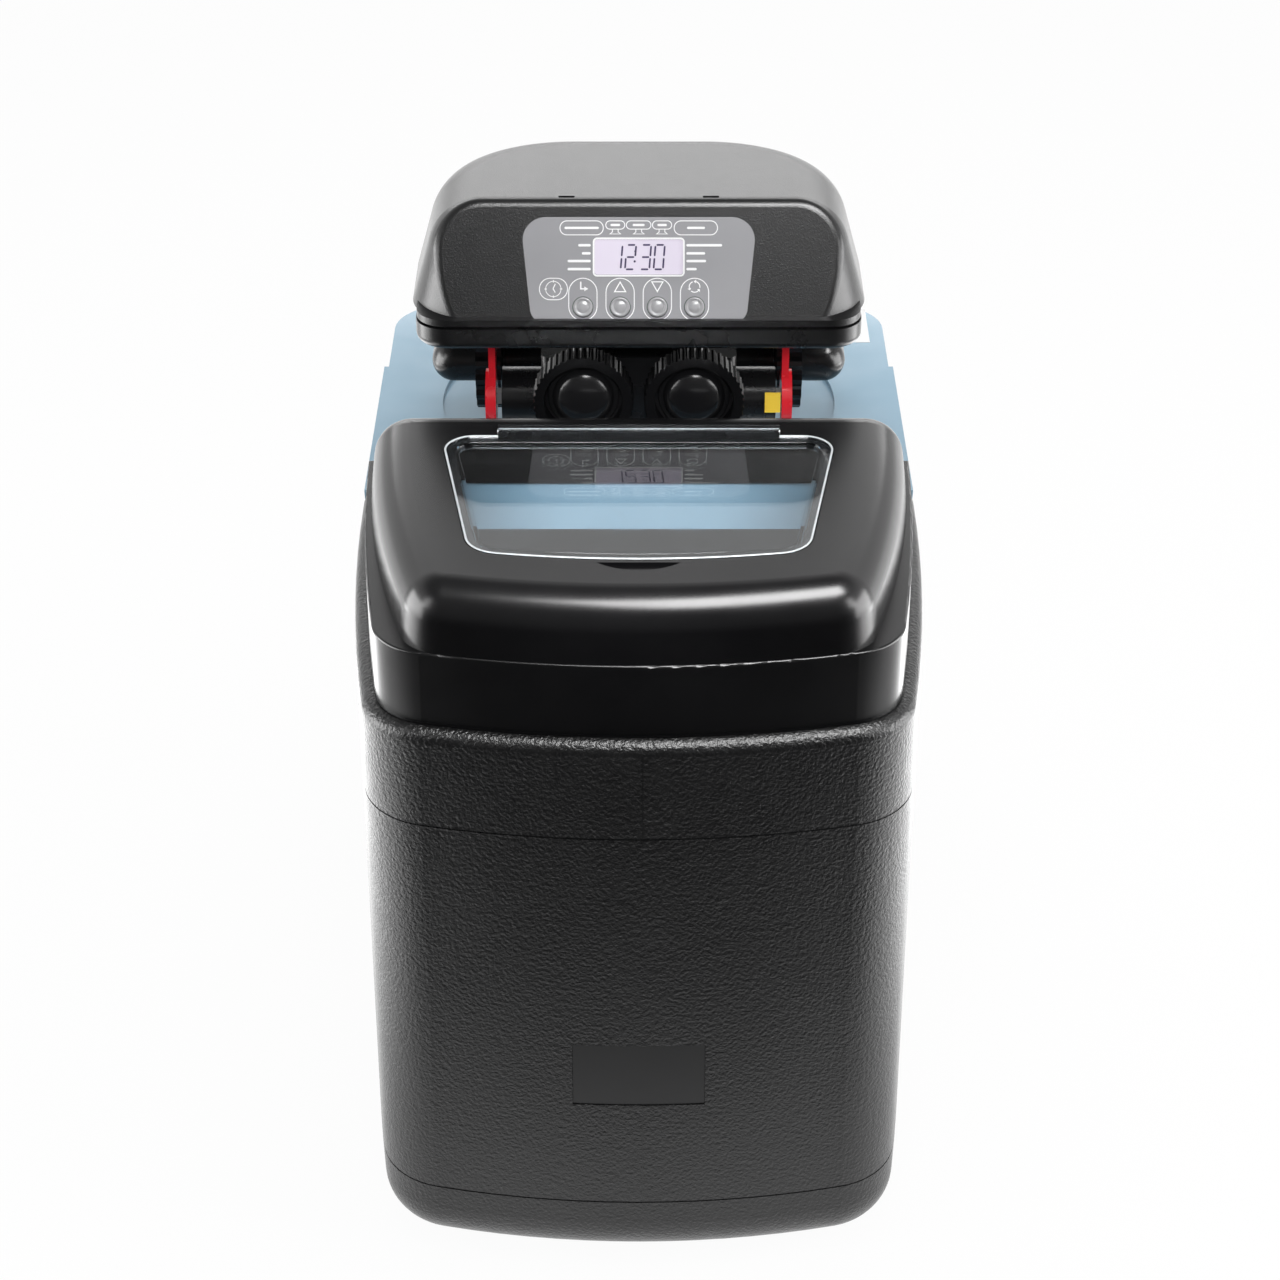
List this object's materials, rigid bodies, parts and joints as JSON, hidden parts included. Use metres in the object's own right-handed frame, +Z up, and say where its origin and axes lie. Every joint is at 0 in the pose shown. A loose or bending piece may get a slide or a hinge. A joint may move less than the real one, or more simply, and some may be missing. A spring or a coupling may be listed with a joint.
{
  "type": "water softener",
  "caption": "Low cabinet water softener with a lift-off salt lid, hinged clear hatch, motorised control valve, bypass handles and raked control panel.",
  "frame": {"origin": "centre of the overall box at floor level", "axes": "+Z up, -Y towards the front with the salt hatch and control panel, +X to the right seen from the front"},
  "size_m": [0.32, 0.556, 0.5206],
  "materials": {
    "black_textured": "fine orange-peel moulded, satin",
    "black_satin": "satin moulded",
    "light_blue": "glossy moulded",
    "clear_plastic": "clear moulded",
    "grey_overlay": "printed film",
    "lcd": "liquid crystal display",
    "button_grey": "dished keys",
    "handle_red": "moulded",
    "valve_black": "glass-filled moulded",
    "white_plastic": "moulded",
    "grey_plastic": "moulded",
    "tube_white": "extruded tube",
    "resin_amber": "ion exchange beads",
    "frp_grey": "wound fibreglass",
    "steel": "bright",
    "motor_grey": "plated can",
    "board_green": "solder mask",
    "float_white": "moulded"
  },
  "bodies": {
    "cabinet": {"brine_tank": "black_textured", "rear_shroud": "light_blue", "salt_divider": "light_blue", "salt_grid": "white_plastic", "brine_well": "white_plastic", "brine_well_cap": "white_plastic", "air_check": "grey_plastic", "float_rod": "white_plastic", "brine_line": "tube_white", "overflow_elbow": "valve_black", "overflow_nut": "valve_black", "resin_tank": "frp_grey", "tank_boot": "valve_black", "distributor_tube": "grey_plastic", "lower_basket": "grey_plastic", "upper_basket": "grey_plastic", "resin_bed": "resin_amber", "valve_body": "valve_black", "spacer_stack": "white_plastic", "bypass_body": "valve_black", "port_nuts": "valve_black", "left_port_cap": "valve_black", "right_port_cap": "valve_black", "union_nuts": "valve_black", "left_elbow": "valve_black", "right_elbow": "valve_black", "turbine_spider": "grey_plastic", "drain_elbow": "valve_black", "brine_elbow": "valve_black", "valve_tray": "valve_black", "drive_bracket": "grey_plastic", "bracket_screws": "steel", "gear_axles": "steel", "drive_motor": "motor_grey", "power_inlet": "valve_black"},
    "lid": {"salt_lid": "black_satin", "hatch_hinge_pin": "steel"},
    "hatch": {"hatch_window": "clear_plastic"},
    "float": {"float": "float_white"},
    "left_bypass": {"left_handle": "handle_red", "left_rotor": "grey_plastic"},
    "right_bypass": {"right_handle": "handle_red", "right_rotor": "grey_plastic"},
    "cover": {"valve_cover": "black_textured", "overlay_panel": "grey_overlay", "display_lens": "lcd", "circuit_board": "board_green"},
    "next_button": {"button_next": "button_grey"},
    "up_button": {"button_up": "button_grey"},
    "down_button": {"button_down": "button_grey"},
    "regen_button": {"button_regen": "button_grey"},
    "main_gear": {"main_gear": "white_plastic"},
    "second_gear": {"second_gear": "white_plastic"},
    "first_gear": {"first_gear": "white_plastic"},
    "pinion": {"motor_pinion": "steel"},
    "piston": {"piston": "grey_plastic", "piston_rod": "steel"},
    "turbine": {"meter_turbine": "white_plastic"}
  },
  "joints": [
    {"name": "lid_lift", "type": "slide", "parent": "cabinet", "child": "lid", "axis": [0, 0, 1], "range_m": [0, 0.08]},
    {"name": "hatch_hinge", "type": "hinge", "parent": "lid", "child": "hatch", "pos_m": [0, -0.0745, 0.42155], "axis": [-1, 0, 0], "range_deg": [0, 95]},
    {"name": "float_rise", "type": "slide", "parent": "cabinet", "child": "float", "axis": [0, 0, 1], "range_m": [0, 0.12]},
    {"name": "left_bypass_turn", "type": "hinge", "parent": "cabinet", "child": "left_bypass", "pos_m": [-0.085, 0.022, 0.396], "axis": [1, 0, 0], "range_deg": [0, 90]},
    {"name": "right_bypass_turn", "type": "hinge", "parent": "cabinet", "child": "right_bypass", "pos_m": [0.085, 0.022, 0.396], "axis": [1, 0, 0], "range_deg": [0, 90]},
    {"name": "cover_lift", "type": "slide", "parent": "cabinet", "child": "cover", "axis": [0, 0, 1], "range_m": [0, 0.08]},
    {"name": "next_press", "type": "slide", "parent": "cover", "child": "next_button", "axis": [0, 0.866, -0.5], "range_m": [0, 0.0008], "stiffness_N_per_m": 2000},
    {"name": "up_press", "type": "slide", "parent": "cover", "child": "up_button", "axis": [0, 0.866, -0.5], "range_m": [0, 0.0008], "stiffness_N_per_m": 2000},
    {"name": "down_press", "type": "slide", "parent": "cover", "child": "down_button", "axis": [0, 0.866, -0.5], "range_m": [0, 0.0008], "stiffness_N_per_m": 2000},
    {"name": "regen_press", "type": "slide", "parent": "cover", "child": "regen_button", "axis": [0, 0.866, -0.5], "range_m": [0, 0.0008], "stiffness_N_per_m": 2000},
    {"name": "main_gear_turn", "type": "hinge", "parent": "cabinet", "child": "main_gear", "pos_m": [0, 0.032, 0.48], "axis": [0, 1, 0], "range_deg": [-10, 730]},
    {"name": "second_gear_turn", "type": "hinge", "parent": "cabinet", "child": "second_gear", "pos_m": [0.02577, 0.032, 0.48], "axis": [0, 1, 0], "range_deg": [-2600, 10]},
    {"name": "first_gear_turn", "type": "hinge", "parent": "cabinet", "child": "first_gear", "pos_m": [0.04655, 0.027, 0.48], "axis": [0, 1, 0], "range_deg": [-10, 6900]},
    {"name": "pinion_turn", "type": "hinge", "parent": "cabinet", "child": "pinion", "pos_m": [0.06732, 0.022, 0.48], "axis": [0, 1, 0], "range_deg": [-18300, 10]},
    {"name": "piston_stroke", "type": "slide", "parent": "cabinet", "child": "piston", "axis": [0, 1, 0], "range_m": [0, 0.024]},
    {"name": "turbine_spin", "type": "hinge", "parent": "cabinet", "child": "turbine", "pos_m": [0.07, 0.082, 0.391], "axis": [1, 0, 0], "continuous": true}
  ],
  "couplings": [
    {"joint": "main_gear_turn", "follows": "piston_stroke", "rad_per_m": 523.6},
    {"joint": "second_gear_turn", "follows": "piston_stroke", "rad_per_m": -1861.7},
    {"joint": "first_gear_turn", "follows": "piston_stroke", "rad_per_m": 4964.5},
    {"joint": "pinion_turn", "follows": "piston_stroke", "rad_per_m": -13239}
  ]
}
